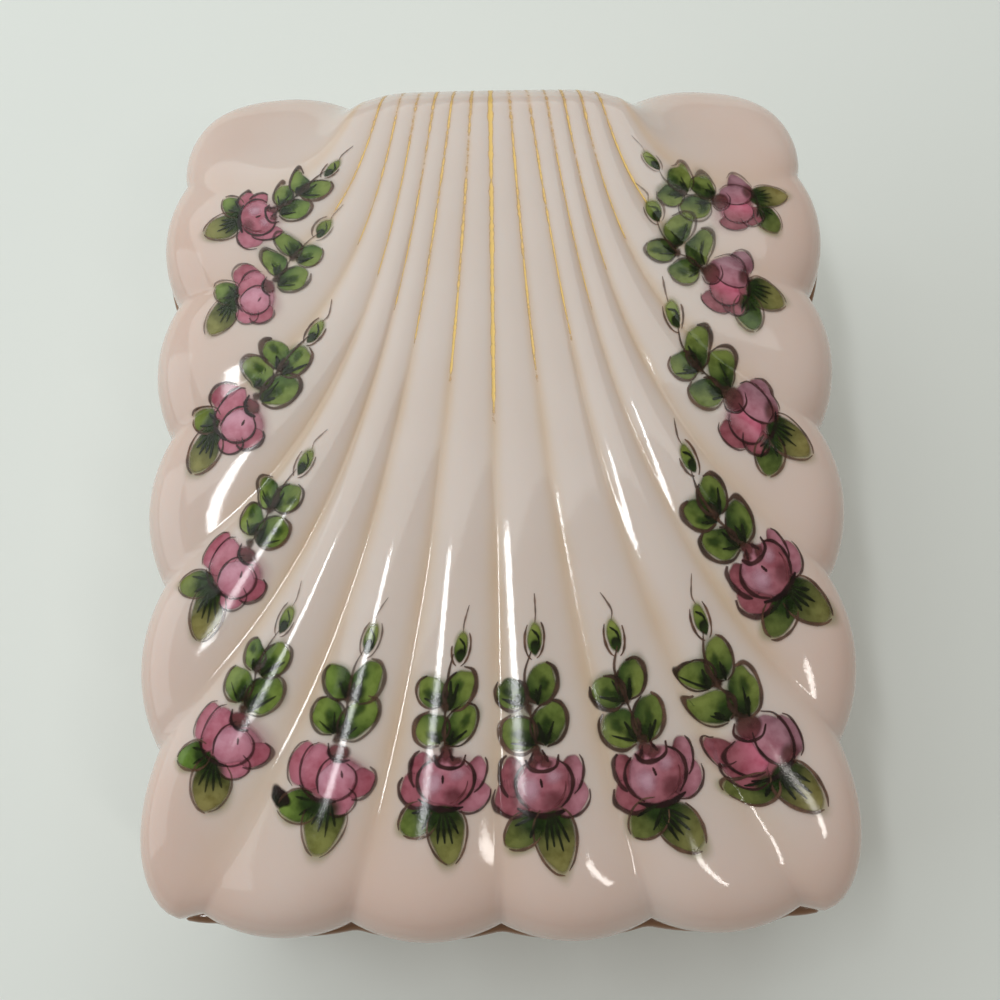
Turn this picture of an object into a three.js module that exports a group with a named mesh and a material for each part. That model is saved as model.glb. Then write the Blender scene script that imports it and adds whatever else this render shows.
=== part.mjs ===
// Cigarette box of pink milk glass: a scalloped hollow base and a lift-off lid moulded as a scallop shell.
// Millimetres, +Z up, origin under the middle of the base; the hub of the shell is at the back, towards +Y.
import * as THREE from "three";
import { LoftGeometry } from "three/addons/geometries/LoftGeometry.js";
import { ParametricGeometry } from "three/addons/geometries/ParametricGeometry.js";
import { mergeGeometries, mergeVertices } from "three/addons/utils/BufferGeometryUtils.js";

// Plan of the rim, seen from above; the left half mirrors the right half
const HALF_WIDTH = 48;
const HALF_LENGTH = 60.7;
const RIBS = 7; // ribs on each side of the middle valley
const FRONT_RIBS = 2; // of these, the ribs that end on the front edge, before the corner rib
const FRONT_PITCH = 19; // front valleys, one to the next
const FRONT_VALLEY = 58.2; // middle front valley, distance from the centre
const FRONT_BOW = 0.4; // how far the next front valley sets back, growing with the square of its number
const SIDE_VALLEY = 44.2; // side valleys, distance from the middle line
const SIDE_START = -36.4; // first side valley, behind the corner rib
const SIDE_PITCH = 21.3; // first side valley to the second
const SIDE_SHRINK = 0.8; // each further pitch is shorter by this
const LOBE_ARC = 29; // half angle of the arc of a plain lobe, degrees
const CORNER_ARC = 58; // half angle of the arc of a front corner lobe
const CORNER_SKEW = 0.6; // below 1 the corner lobe bulges more to the front than to the side
const EAR_ARC = 47; // half angle of the arc round an ear
const EAR_REACH = 32.5; // where the arc of an ear meets the back edge

// Back edge of the lid: the hub stands a little inside the ears, with a notch on each side
const HUB_SET = 1.3;
const HUB_PITCH = 2.42; // valleys at the back edge, one to the next
const NOTCH_AT = 19;
const NOTCH_DEPTH = 1.2;
const NOTCH_WIDTH = 3.5;
const NOTCH_TO_EAR = 11;

// Upper surface of the lid
const VALLEY_BOW = 4; // how far valley number 1 bows sideways; number k bows k times as far
const BOW_LIMIT = 10; // but no valley further than this
const LOBE_REACH = 5; // power with which the lobes swell out towards the rim
const CROWN = 15;
const CROWN_AT = 2;
const FALL_ACROSS = 4;
const FALL_ALONG = 4.5;
const RIB_RISE = 0.058; // height of a rib over its valleys, part of its width
const EAR_DROP = 0.45; // how much lower the ears are at the back edge
const RIM_ROUND = 12; // how far in from the rim the rounded shoulder reaches
const RIM_POWER = 4; // 2 gives an elliptic shoulder; the higher, the flatter on top and steeper at the edge
const BACK_ROUND = 7;
const RIM_BAND = 1.2; // upright edge of the lid

// Base, and the lid's seat on it
const BASE_HEIGHT = 36;
const SEAT_GAP = 0.3;
const NOTCH_FILL = 1.1; // how much further out its notches are than the lid's, in front and at the sides
const BASE_ARC = 16; // its lobes are as wide as the lid's but flatter
const BASE_CORNER_ARC = 45;
const BACK_CORNER = new THREE.Vector2(35, 58.2); // back end of the large lobe round a back corner
const BACK_CORNER_ARC = 43;
const FLOOR = 4.5;
const FOOT_SCALE = 0.925; // flat underside
const HEEL_SCALE = 0.965; // outline just above the rounded bottom edge
const HEEL = 3.5;
const LIP = 0.8; // rounding of the top edge
const CORNER_POWER = 6; // superellipse power of the plain inner outlines
const MOUTH = new THREE.Vector2(41.5, 54.5); // half sizes of the opening of the base
const WELL_DRAFT = 1.6; // how much narrower the well is at its floor
const WELL_FILLET = 5;

// Underside of the lid
const FLANGE = new THREE.Vector2(40.7, 53.7);
const HOLLOW = new THREE.Vector2(38.2, 51.2);
const FLANGE_DROP = 2.5;
const HOLLOW_HEIGHT = 11.6;
const HOLLOW_POWER = 0.7; // 1 gives an elliptic hollow; the lower, the more boxy

// Facets
const LANE_STEPS = 4; // strips across one rib
const LENGTH_STEPS = 20; // steps from the hub to the rim
const END_CROWDING = 0.75; // 0 spaces the steps evenly, nearer 1 crowds them at hub and rim
const LOBE_STEPS = 6; // strips round one lobe of the base
const HOLLOW_STEPS = 6;
const WELD = 1e-3;

const LANES = RIBS + 1; // the ribs of one half and its ear
const LID_Z = BASE_HEIGHT + SEAT_GAP;

// Where valley k of the right half meets the rim, moved out by fill; after the last comes the ear's back end.
function rimValley(k, fill = 0) {
  if (k > RIBS) return new THREE.Vector2(EAR_REACH, HALF_LENGTH);
  if (k <= FRONT_RIBS) return new THREE.Vector2(k * FRONT_PITCH, FRONT_BOW * k * k - FRONT_VALLEY - fill);
  const n = k - FRONT_RIBS - 1;
  return new THREE.Vector2(SIDE_VALLEY + fill, SIDE_START + n * SIDE_PITCH - (SIDE_SHRINK * n * (n - 1)) / 2);
}

// How far the arc on the chord a-b stands off the chord at fraction w of it.
function arcOffset(a, b, halfAngle, w) {
  const chord = b.clone().sub(a);
  const half = THREE.MathUtils.degToRad(halfAngle);
  const turn = (2 * w - 1) * half;
  const along = Math.sin(turn) / (2 * Math.sin(half)) - (w - 0.5);
  const out = (Math.cos(turn) - Math.cos(half)) / (2 * Math.sin(half));
  return new THREE.Vector2(chord.x * along + chord.y * out, chord.y * along - chord.x * out);
}

function backEdge(x) {
  const past = Math.abs(x) - NOTCH_AT;
  const ear = THREE.MathUtils.smoothstep(past, 0, NOTCH_TO_EAR);
  return HALF_LENGTH - HUB_SET * (1 - ear) - NOTCH_DEPTH * Math.exp(-((past / NOTCH_WIDTH) ** 2));
}

// Valley k in plan, p = 0 at the back edge and 1 at the rim; the last one runs along the ear's back edge.
function valley(k, p) {
  const x = k > RIBS ? NOTCH_AT : k * HUB_PITCH;
  const from = new THREE.Vector2(x, backEdge(x));
  const chord = rimValley(k).sub(from);
  const point = from.addScaledVector(chord, p);
  if (k > RIBS) return point.setY(backEdge(point.x));
  const swing = p * (1 - p * p) * 1.5 * Math.sqrt(3); // 1 where it is largest, nearer the rim than the hub
  const bow = Math.min(VALLEY_BOW * k, BOW_LIMIT) * swing;
  return point.addScaledVector(new THREE.Vector2(chord.y, -chord.x).normalize(), bow);
}

function laneArc(lane) {
  if (lane === FRONT_RIBS) return CORNER_ARC;
  return lane === RIBS ? EAR_ARC : LOBE_ARC;
}

// Plan point of a lane at fraction w across it, with its lobe swelling out towards the rim.
function lanePlan(lane, w, p) {
  const onArc = lane === FRONT_RIBS ? w ** CORNER_SKEW : w;
  const swell = arcOffset(rimValley(lane), rimValley(lane + 1), laneArc(lane), onArc);
  const point = valley(lane, p).lerp(valley(lane + 1, p), w);
  return point.addScaledVector(swell, p ** LOBE_REACH);
}

// Rounded edge: 0 at the edge, 1 from the given reach inwards.
function shoulder(distance, reach, power) {
  const left = 1 - THREE.MathUtils.clamp(distance / reach, 0, 1);
  return (1 - left ** power) ** (1 / power);
}

// Upper surface of the lid: t runs from -LANES at the left ear to LANES at the right ear.
function shellPoint(t, p, target) {
  const lane = Math.min(Math.floor(Math.abs(t)), RIBS);
  const w = Math.abs(t) - lane;
  const plan = lanePlan(lane, w, p);
  const width = valley(lane, p).distanceTo(valley(lane + 1, p));
  const rib = lane < RIBS ? RIB_RISE * width * Math.sin(Math.PI * w) : 0;
  const ear = lane < RIBS ? 1 : 1 - EAR_DROP * THREE.MathUtils.smoothstep(w, 0, 1);
  const across = FALL_ACROSS * (plan.x / HALF_WIDTH) ** 2;
  const along = FALL_ALONG * ((plan.y - CROWN_AT) / HALF_LENGTH) ** 2;
  const atRim = shoulder(lanePlan(lane, w, 1).distanceTo(plan), RIM_ROUND, RIM_POWER);
  const atBack = shoulder(backEdge(plan.x) - plan.y, BACK_ROUND, 2);
  const height = ((CROWN - across - along) * ear + rib) * atRim * atBack;
  return target.set(Math.sign(t) * plan.x, plan.y, LID_Z + RIM_BAND + height);
}

// Step i of the way from hub to rim, crowded at both ends.
function lengthStep(i) {
  const v = i / LENGTH_STEPS;
  return v - (END_CROWDING * Math.sin(2 * Math.PI * v)) / (2 * Math.PI);
}

// Point of a superellipse of the given half sizes, in the direction of the given point.
function onOutline(half, point, z) {
  const angle = Math.atan2(point.y, point.x);
  const cos = Math.cos(angle);
  const sin = Math.sin(angle);
  const sum = Math.abs(cos / half.x) ** CORNER_POWER + Math.abs(sin / half.y) ** CORNER_POWER;
  const radius = sum ** (-1 / CORNER_POWER);
  return new THREE.Vector3(radius * cos, radius * sin, z);
}

// One closed body: the sheets are welded and the empty triangles at their poles dropped.
function weld(name, sheets, material) {
  const joined = mergeGeometries(sheets);
  joined.deleteAttribute("normal");
  joined.deleteAttribute("uv");
  const body = mergeVertices(joined, WELD);
  const kept = [];
  for (let i = 0; i < body.index.count; i += 3) {
    const [a, b, c] = [0, 1, 2].map((n) => body.index.getX(i + n));
    if (a !== b && b !== c && c !== a) kept.push(a, b, c);
  }
  body.setIndex(kept);
  body.computeVertexNormals();
  const mesh = new THREE.Mesh(body, material);
  mesh.name = name;
  return mesh;
}

const glass = () => new THREE.MeshStandardMaterial({ color: 0xdcbcb0, roughness: 0.15 });

// Lid: the ribbed upper sheet, then rings from its edge down the rim band, past the flange, over the hollow
function makeLid() {
  const strips = 2 * LANES * LANE_STEPS;
  const top = new ParametricGeometry(
    (u, v, target) => shellPoint(LANES * (1 - 2 * u), lengthStep(v * LENGTH_STEPS), target),
    strips,
    LENGTH_STEPS,
  );
  const edge = [];
  const edgePoint = (i, j) => {
    edge.push(shellPoint(LANES - i / LANE_STEPS, lengthStep(j), new THREE.Vector3()));
  };
  for (let i = 0; i < strips; i++) edgePoint(i, LENGTH_STEPS);
  for (let j = LENGTH_STEPS; j > 0; j--) edgePoint(strips, j);
  for (let i = strips; i > 0; i--) edgePoint(i, 0);
  for (let j = 0; j < LENGTH_STEPS; j++) edgePoint(0, j);

  const ring = (half, z) => edge.map((point) => onOutline(half, point, z));
  const rings = [
    edge,
    edge.map((point) => point.clone().setZ(LID_Z)),
    ring(FLANGE, LID_Z),
    ring(FLANGE, LID_Z - FLANGE_DROP),
    ring(HOLLOW, LID_Z - FLANGE_DROP),
  ];
  for (let i = 0; i <= HOLLOW_STEPS; i++) {
    const turn = (i / HOLLOW_STEPS) * (Math.PI / 2);
    const half = HOLLOW.clone().multiplyScalar(i < HOLLOW_STEPS ? Math.cos(turn) ** HOLLOW_POWER : 0);
    rings.push(ring(half, LID_Z + HOLLOW_HEIGHT * Math.sin(turn)));
  }
  return weld("lid", [top, new LoftGeometry(rings)], glass());
}

// Base: flatter lobes under the lid's, carried down its walls, with one large lobe round each back corner
function makeBase() {
  const front = [];
  for (let k = 0; k < RIBS; k++) front.push(rimValley(k, NOTCH_FILL));
  const back = [BACK_CORNER];
  for (let k = FRONT_RIBS - 1; k >= 0; k--) back.push(rimValley(k).multiply(new THREE.Vector2(1, -1)));
  const right = [...front, ...back];
  const left = right.slice(1, -1).reverse();
  const valleys = [...right, ...left.map((point) => new THREE.Vector2(-point.x, point.y))];

  const outline = [];
  valleys.forEach((from, k) => {
    const to = valleys[(k + 1) % valleys.length];
    const number = Math.min(k, valleys.length - 1 - k);
    const arc = number === FRONT_RIBS ? BASE_CORNER_ARC : number === RIBS - 1 ? BACK_CORNER_ARC : BASE_ARC;
    for (let i = 0; i < LOBE_STEPS; i++) {
      const w = i / LOBE_STEPS;
      // the right half runs away from the front, the left half towards it
      const skewed = k === number ? w ** CORNER_SKEW : 1 - (1 - w) ** CORNER_SKEW;
      const onArc = number === FRONT_RIBS ? skewed : w;
      outline.push(from.clone().lerp(to, w).add(arcOffset(from, to, arc, onArc)));
    }
  });

  const wall = (scale, z) => outline.map((point) => new THREE.Vector3(point.x * scale, point.y * scale, z));
  const inset = (half, by, z) => {
    const smaller = half.clone().subScalar(by);
    return outline.map((point) => onOutline(smaller, point, z));
  };
  const rounded = Math.SQRT1_2;
  const lipScale = 1 - LIP / HALF_LENGTH;
  const heelMid = FOOT_SCALE + (HEEL_SCALE - FOOT_SCALE) * rounded;
  const well = MOUTH.clone().subScalar(WELL_DRAFT);
  return weld(
    "base",
    [
      new LoftGeometry([
        wall(0, 0),
        wall(FOOT_SCALE, 0),
        wall(heelMid, HEEL * (1 - rounded)),
        wall(HEEL_SCALE, HEEL),
        wall(1, BASE_HEIGHT - LIP),
        wall(lipScale, BASE_HEIGHT),
        inset(MOUTH, -LIP, BASE_HEIGHT),
        inset(MOUTH, 0, BASE_HEIGHT - LIP),
        inset(well, 0, FLOOR + WELL_FILLET),
        inset(well, WELL_FILLET * (1 - rounded), FLOOR + WELL_FILLET * (1 - rounded)),
        inset(well, WELL_FILLET, FLOOR),
        wall(0, FLOOR),
      ]),
    ],
    glass(),
  );
}

const box = new THREE.Group();
box.add(makeBase(), makeLid());

export default box;
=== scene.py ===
import bpy
import numpy as np
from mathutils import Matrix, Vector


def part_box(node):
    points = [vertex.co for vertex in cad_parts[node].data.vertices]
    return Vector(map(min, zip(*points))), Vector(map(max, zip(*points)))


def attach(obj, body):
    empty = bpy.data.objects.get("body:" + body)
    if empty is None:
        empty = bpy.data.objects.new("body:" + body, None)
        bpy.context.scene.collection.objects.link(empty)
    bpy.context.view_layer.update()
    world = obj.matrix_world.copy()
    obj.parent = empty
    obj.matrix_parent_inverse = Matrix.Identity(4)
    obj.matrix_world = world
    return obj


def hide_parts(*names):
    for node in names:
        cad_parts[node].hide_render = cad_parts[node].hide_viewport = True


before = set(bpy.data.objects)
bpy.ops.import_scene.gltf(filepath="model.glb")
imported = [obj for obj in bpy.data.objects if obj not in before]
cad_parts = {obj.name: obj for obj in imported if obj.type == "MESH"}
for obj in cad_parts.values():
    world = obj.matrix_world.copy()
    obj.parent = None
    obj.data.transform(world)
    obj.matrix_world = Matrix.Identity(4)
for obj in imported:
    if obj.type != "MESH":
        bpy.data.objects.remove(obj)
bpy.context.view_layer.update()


# Base
# The tub of the box, pressed in pink milk glass in one piece. Its lobes stand under those of the lid and run
# down the walls to a slightly smaller foot; the plain well inside holds the cigarettes.
MM = 0.001  # sizes below are in millimetres
RIBS = 7  # ribs on each side of the middle valley of the lid
FRONT_RIBS = 2  # of these, the ribs that end on the front edge, before the corner rib
HALF_LENGTH = 60.7
FRONT_PITCH = 19.0  # front valleys, one to the next
FRONT_VALLEY = 58.2  # middle front valley, distance from the centre
FRONT_BOW = 0.4  # how far the next front valley sets back, growing with the square of its number
SIDE_VALLEY = 44.2  # side valleys, distance from the middle line
SIDE_START = -36.4  # first side valley, behind the corner rib
SIDE_PITCH = 21.3  # first side valley to the second
SIDE_SHRINK = 0.8  # each further pitch is shorter by this
EAR_REACH = 32.5  # where the arc of an ear meets the back edge
NOTCH_FILL = 1.1  # how much further out its notches are than the lid's, in front and at the sides
BASE_ARC, BASE_CORNER_ARC, BACK_CORNER_ARC = np.radians((16, 45, 43))  # half angles of the arcs of its lobes
CORNER_SKEW = 0.6  # below 1 a front corner lobe bulges more to the front than to the side
BACK_CORNER = (35.0, 58.2)  # back end of the large lobe round a back corner
BASE_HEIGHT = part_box("base")[1].z / MM
FLOOR = 4.5
FOOT_SCALE = 0.925
HEEL_SCALE = 0.965
HEEL = 3.5
LIP = 0.8
CORNER_POWER = 6  # superellipse power of the plain inner outlines
MOUTH = np.array((41.5, 54.5))  # half sizes of the opening
WELL_DRAFT = 1.6
WELL_FILLET = 5.0
FLAT_EDGE = 0.02  # narrow flat ring inside the foot, part of the outline, that keeps the shading crisp
FLAT_INSET = 1.0  # the same on the floor of the well, in millimetres
WALL_WARMTH = 0.4  # how much of the rim's colour the wall takes on at its top
LOBE_STEPS = 28
WALL_STEPS = 8
ROUND_STEPS = 6
OUTER_RINGS = 2 + ROUND_STEPS + WALL_STEPS - 1 + ROUND_STEPS  # rings of the outside, up to the top of the lip


def rim_valley(k, fill=0.0):
    """Plan points where the valleys k of the right half meet the rim, moved out by fill: even steps along the
    front edge, shrinking steps up the side, and for the number after the last the back end of the ear."""
    k = np.asarray(k, float)
    n = k - FRONT_RIBS - 1
    front = np.stack([k * FRONT_PITCH, FRONT_BOW * k**2 - FRONT_VALLEY - fill], -1)
    up = SIDE_START + n * SIDE_PITCH - SIDE_SHRINK * n * (n - 1) / 2
    side = np.stack([np.full_like(k, SIDE_VALLEY + fill), up], -1)
    k = k[..., None]
    return np.where(k > RIBS, (EAR_REACH, HALF_LENGTH), np.where(k <= FRONT_RIBS, front, side))


def arc_offset(start, end, half_angle, w):
    """How far a circular arc over the chord from start to end stands off the chord at fraction w of it."""
    chord = end - start
    turn = (2 * w - 1) * half_angle
    along = np.sin(turn) / (2 * np.sin(half_angle)) - (w - 0.5)
    out = (np.cos(turn) - np.cos(half_angle)) / (2 * np.sin(half_angle))
    x, y = chord[..., 0], chord[..., 1]
    return np.stack([x * along + y * out, y * along - x * out], -1)


def base_outline():
    """Closed plan line of the base: an arc over each pair of neighbouring valleys, skewed at the front
    corners, and a running mean of three points that rounds the notches."""
    front = rim_valley(np.arange(RIBS), NOTCH_FILL)
    back = rim_valley(np.arange(FRONT_RIBS))[::-1] * (1, -1)
    right = np.concatenate([front, [BACK_CORNER], back])
    valleys = np.concatenate([right, right[-2:0:-1] * (-1, 1)])
    number = np.minimum(np.arange(len(valleys)), np.arange(len(valleys))[::-1])
    corner = np.where(number == RIBS - 1, BACK_CORNER_ARC, BASE_ARC)
    arc = np.where(number == FRONT_RIBS, BASE_CORNER_ARC, corner)[:, None]
    start = valleys[:, None]
    end = np.roll(valleys, -1, axis=0)[:, None]
    w = np.arange(LOBE_STEPS) / LOBE_STEPS
    on_right = (np.arange(len(valleys)) == number)[:, None]
    skewed = np.where(on_right, w**CORNER_SKEW, 1 - (1 - w) ** CORNER_SKEW)
    on_arc = np.where(number[:, None] == FRONT_RIBS, skewed, w)
    line = start + (end - start) * w[:, None] + arc_offset(start, end, arc, on_arc)
    line = line.reshape(-1, 2)
    return (np.roll(line, 1, axis=0) + line + np.roll(line, -1, axis=0)) / 3


def superellipse(half, towards):
    """Points of a superellipse with the given half sizes, in the directions of the given plan points."""
    unit = towards / np.linalg.norm(towards, axis=-1, keepdims=True)
    sum_of_powers = (np.abs(unit / half) ** CORNER_POWER).sum(-1, keepdims=True)
    return unit * sum_of_powers ** (-1 / CORNER_POWER)


def at_height(plan, z):
    """Plan points raised to the height z."""
    return np.column_stack([plan, np.broadcast_to(z, len(plan))])


def loft_faces(rings, size, first=0):
    """Quads between rings of the same number of points, each ring running on from the one before it."""
    ring, point = np.meshgrid(np.arange(rings - 1), np.arange(size), indexing="ij")
    after = (point + 1) % size
    low, high = ring * size, (ring + 1) * size
    quads = np.stack([low + point, low + after, high + after, high + point])
    return first + quads.reshape(4, -1).T


def fan_faces(pole, ring):
    """Triangles from one pole point to a closed ring of point numbers."""
    return np.stack([np.full_like(ring, pole), np.roll(ring, -1), ring], -1)


def add_piece(name, points, face_groups, material):
    """Mesh object of the given points, in millimetres, and groups of faces, shaded smooth."""
    mesh = bpy.data.meshes.new(name)
    faces = [face for group in face_groups for face in group.tolist()]
    mesh.from_pydata((np.asarray(points) * MM).tolist(), [], faces)
    mesh.shade_smooth()
    mesh.materials.append(material)
    piece = bpy.data.objects.new(name, mesh)
    bpy.context.scene.collection.objects.link(piece)
    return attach(piece, "root")


def add_attribute(piece, name, values):
    """Point attribute of the piece's mesh: plain numbers, or colours if the values have three parts."""
    values = np.asarray(values, float)
    if values.ndim == 1:
        piece.data.attributes.new(name, "FLOAT", "POINT").data.foreach_set("value", values)
    else:
        colours = np.column_stack([values, np.ones(len(values))])
        piece.data.attributes.new(name, "FLOAT_COLOR", "POINT").data.foreach_set("color", colours.ravel())


def paint_colour(red, green, blue):
    """Linear colour of a colour seen on a screen, given in parts of 255."""
    seen = np.array((red, green, blue)) / 255
    return np.where(seen > 0.04045, ((seen + 0.055) / 1.055) ** 2.4, seen / 12.92)


GLASS_CREST = paint_colour(208, 193, 184)  # lavender pink, on the ribs and the plain walls
GLASS_VALLEY = paint_colour(204, 180, 156)  # yellower, where the glass is thin and dust stays
GLASS_RIM = paint_colour(211, 186, 174)  # warmer, towards the rim
GLASS_CLOUD = paint_colour(216, 203, 196)  # paler clouds in the body of the glass
SEAM_GRIME_AND_SHADE = paint_colour(132, 100, 74)  # brown grime and painted shade in the seam between base and lid, where the base runs in under the lid's edge
GLASS_DEPTH = (6.0, 4.0, 3.0)  # how far red, green and blue light spreads in the glass
CLOUD_SIZE = 22.0
CLOUD_COVER = 0.45  # how strong the clouds are at most
WAVE_SIZE = 0.8  # ripples of the pressed skin
WAVE_RELIEF = 0.006
GLASS_ROUGHNESS = 0.06
GLASS_SPREAD = 0.3  # part of the light that spreads inside the glass


def new_material(name):
    """Empty node material: returns it, its nodes, its main shader and a function that joins two sockets."""
    material = bpy.data.materials.new(name)
    material.use_nodes = True
    nodes = material.node_tree.nodes
    return material, nodes, nodes["Principled BSDF"], material.node_tree.links.new


def attribute_node(nodes, name):
    """Node that reads a point attribute of the mesh."""
    node = nodes.new("ShaderNodeAttribute")
    node.attribute_name = name
    return node


def noise_node(nodes, link, size, detail):
    """Noise on Object coordinates with spots of about the given size."""
    node = nodes.new("ShaderNodeTexNoise")
    node.inputs["Scale"].default_value = 1 / (size * MM)
    node.inputs["Detail"].default_value = detail
    link(nodes.new("ShaderNodeTexCoord").outputs["Object"], node.inputs["Vector"])
    return node


def mix_node(nodes, link, factor, first, second):
    """Colour mix by the factor socket; a colour is a socket or a fixed linear colour."""
    node = nodes.new("ShaderNodeMix")
    node.data_type = "RGBA"
    link(factor, node.inputs["Factor"])
    for socket, colour in ((node.inputs["A"], first), (node.inputs["B"], second)):
        if isinstance(colour, bpy.types.NodeSocket):
            link(colour, socket)
        else:
            socket.default_value = (*colour, 1)
    return node.outputs["Result"]


def range_node(nodes, link, value, low, high, to_low, to_high):
    """Value socket carried from one range to another, and held at its ends."""
    node = nodes.new("ShaderNodeMapRange")
    link(value, node.inputs["Value"])
    for socket, number in zip(("From Min", "From Max", "To Min", "To Max"), (low, high, to_low, to_high)):
        node.inputs[socket].default_value = number
    return node.outputs["Result"]


def bump_node(nodes, link, height, depth, strength):
    """Relief of the given depth, in millimetres, from a height socket."""
    node = nodes.new("ShaderNodeBump")
    node.inputs["Distance"].default_value = depth * MM
    node.inputs["Strength"].default_value = strength
    link(height, node.inputs["Height"])
    return node.outputs["Normal"]


def milk_glass():
    """Pink milk glass: colour by the valley and rim attributes, brown grime and painted shade in the seam by
    a third attribute, faint clouds, a glossy rippled skin and light that spreads a few millimetres inside."""
    material, nodes, shader, link = new_material("milk_glass")
    clouds = noise_node(nodes, link, CLOUD_SIZE, 2).outputs["Fac"]
    clouds = range_node(nodes, link, clouds, 0.4, 0.7, 0, CLOUD_COVER)
    colour = mix_node(nodes, link, attribute_node(nodes, "valley").outputs["Fac"], GLASS_CREST, GLASS_VALLEY)
    colour = mix_node(nodes, link, attribute_node(nodes, "rim").outputs["Fac"], colour, GLASS_RIM)
    colour = mix_node(nodes, link, clouds, colour, GLASS_CLOUD)
    # painted shade with grime: brown where the base's wall passes under the lid's edge
    colour = mix_node(nodes, link, attribute_node(nodes, "grime_and_shade").outputs["Fac"], colour, SEAM_GRIME_AND_SHADE)
    link(colour, shader.inputs["Base Color"])
    ripples = noise_node(nodes, link, WAVE_SIZE, 2).outputs["Fac"]
    link(bump_node(nodes, link, ripples, WAVE_RELIEF, 1.0), shader.inputs["Normal"])
    shader.inputs["Roughness"].default_value = GLASS_ROUGHNESS
    shader.inputs["Subsurface Weight"].default_value = GLASS_SPREAD
    shader.inputs["Subsurface Radius"].default_value = GLASS_DEPTH
    shader.inputs["Subsurface Scale"].default_value = MM
    return material


def smooth_step(value, low, high):
    """0 below low, 1 above high, and a smooth S between."""
    part = np.clip((value - low) / (high - low), 0, 1)
    return part * part * (3 - 2 * part)


def quarter_turn():
    """Angles from 0 to a right angle."""
    return np.linspace(0, np.pi / 2, ROUND_STEPS + 1)


def base_rings():
    """Rings of the base from the underside up the wall, over the lip and down the well: outlines scaled about
    the centre outside, superellipses inside, with quarter rounds at heel, lips and fillet."""
    outline = base_outline()
    turn = quarter_turn()
    rise, fall = np.sin(turn), 1 - np.cos(turn)
    scale = [FOOT_SCALE - FLAT_EDGE, *(FOOT_SCALE + (HEEL_SCALE - FOOT_SCALE) * rise)]
    height = [0, *(HEEL * fall)]
    scale += [*np.linspace(HEEL_SCALE, 1, WALL_STEPS)[1:], *(1 - LIP / HALF_LENGTH * fall[1:])]
    height += [*np.linspace(HEEL, BASE_HEIGHT - LIP, WALL_STEPS)[1:], *(BASE_HEIGHT - LIP * (1 - rise[1:]))]
    rings = [at_height(outline * s, z) for s, z in zip(scale, height)]
    fillet = WELL_DRAFT + WELL_FILLET * fall
    inset = [*(-LIP * (1 - rise)), *fillet, fillet[-1] + FLAT_INSET]
    depth = [*(BASE_HEIGHT - LIP * fall), *(FLOOR + WELL_FILLET * (1 - rise)), FLOOR]
    rings += [at_height(superellipse(MOUTH - by, outline), z) for by, z in zip(inset, depth)]
    return np.array(rings)


glass = milk_glass()
rings = base_rings()
ring_count, ring_size = rings.shape[:2]
under_pole = ring_count * ring_size
first_ring = np.arange(ring_size)
last_ring = first_ring + (ring_count - 1) * ring_size
base_points = np.concatenate([rings.reshape(-1, 3), [(0, 0, 0), (0, 0, FLOOR)]])
base_faces = [
    loft_faces(ring_count, ring_size),
    fan_faces(under_pole, first_ring),
    fan_faces(under_pole + 1, last_ring)[:, ::-1],
]
base = add_piece("glass_base", base_points, base_faces, glass)
add_attribute(base, "valley", np.zeros(len(base_points)))
add_attribute(base, "rim", WALL_WARMTH * base_points[:, 2] / BASE_HEIGHT)
on_wall = np.repeat(np.arange(ring_count) < OUTER_RINGS, ring_size)
on_wall = np.concatenate([on_wall, [False, False]])
# painted shade with grime: the top of the outer wall and the lip turn brown where they pass under the lid's
# edge
add_attribute(base, "grime_and_shade", on_wall * smooth_step(base_points[:, 2], BASE_HEIGHT - 2 * LIP, BASE_HEIGHT))
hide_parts("base")


# Lid
# A hollow cover of the same glass, pressed as a scallop shell: fourteen ribs fan out from a hub at the back
# edge, between two plain ears. It only rests on the base, located by a low flange under its rim.
LANES = RIBS + 1  # the ribs of one half and its ear
HALF_WIDTH = 48.0
LOBE_ARC, CORNER_ARC, EAR_ARC = np.radians((29, 58, 47))  # half angles of the arcs of its lobes
HUB_SET = 1.3
HUB_PITCH = 2.42  # valleys at the back edge, one to the next
NOTCH_AT = 19.0
NOTCH_DEPTH = 1.2
NOTCH_WIDTH = 3.5
NOTCH_TO_EAR = 11.0
VALLEY_BOW = 4.0  # how far valley number 1 bows sideways; number k bows k times as far
BOW_LIMIT = 10.0  # but no valley further than this
LOBE_REACH = 5  # power with which the lobes swell out towards the rim
CROWN = 15.0
CROWN_AT = 2.0
FALL_ACROSS = 4.0
FALL_ALONG = 4.5
RIB_RISE = 0.058  # height of a rib over its valleys, part of its width
EAR_DROP = 0.45
RIM_ROUND = 12.0
RIM_POWER = 4.0
BACK_ROUND = 7.0
RIM_BAND = 1.2
VALLEY_TINT = 0.13  # half width of the tinted band along a valley, part of a lane
RIM_WARMTH = 26.0  # how far in from the rim the warmer colour reaches
EDGE_ROUND = 0.45  # lower edge of the rim band
NOTCH_LIFT = 0.7  # how far the lower edge rises in the valleys
FLANGE = np.array((40.7, 53.7))
HOLLOW = np.array((38.2, 51.2))
FLANGE_DROP = 2.5
HOLLOW_HEIGHT = 11.6
HOLLOW_POWER = 0.7
LID_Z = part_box("lid")[0].z / MM + FLANGE_DROP
LANE_STEPS = 20
LENGTH_STEPS = 180
HOLLOW_STEPS = 10
END_CROWDING = 0.75  # 0 spaces the steps evenly, nearer 1 crowds them at hub and rim


def back_edge(x):
    """How far back the lid reaches: the hub stands a little inside the ears, with a notch on each side."""
    past = np.abs(x) - NOTCH_AT
    notch = NOTCH_DEPTH * np.exp(-((past / NOTCH_WIDTH) ** 2))
    return HALF_LENGTH - HUB_SET * (1 - smooth_step(past, 0, NOTCH_TO_EAR)) - notch


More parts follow.
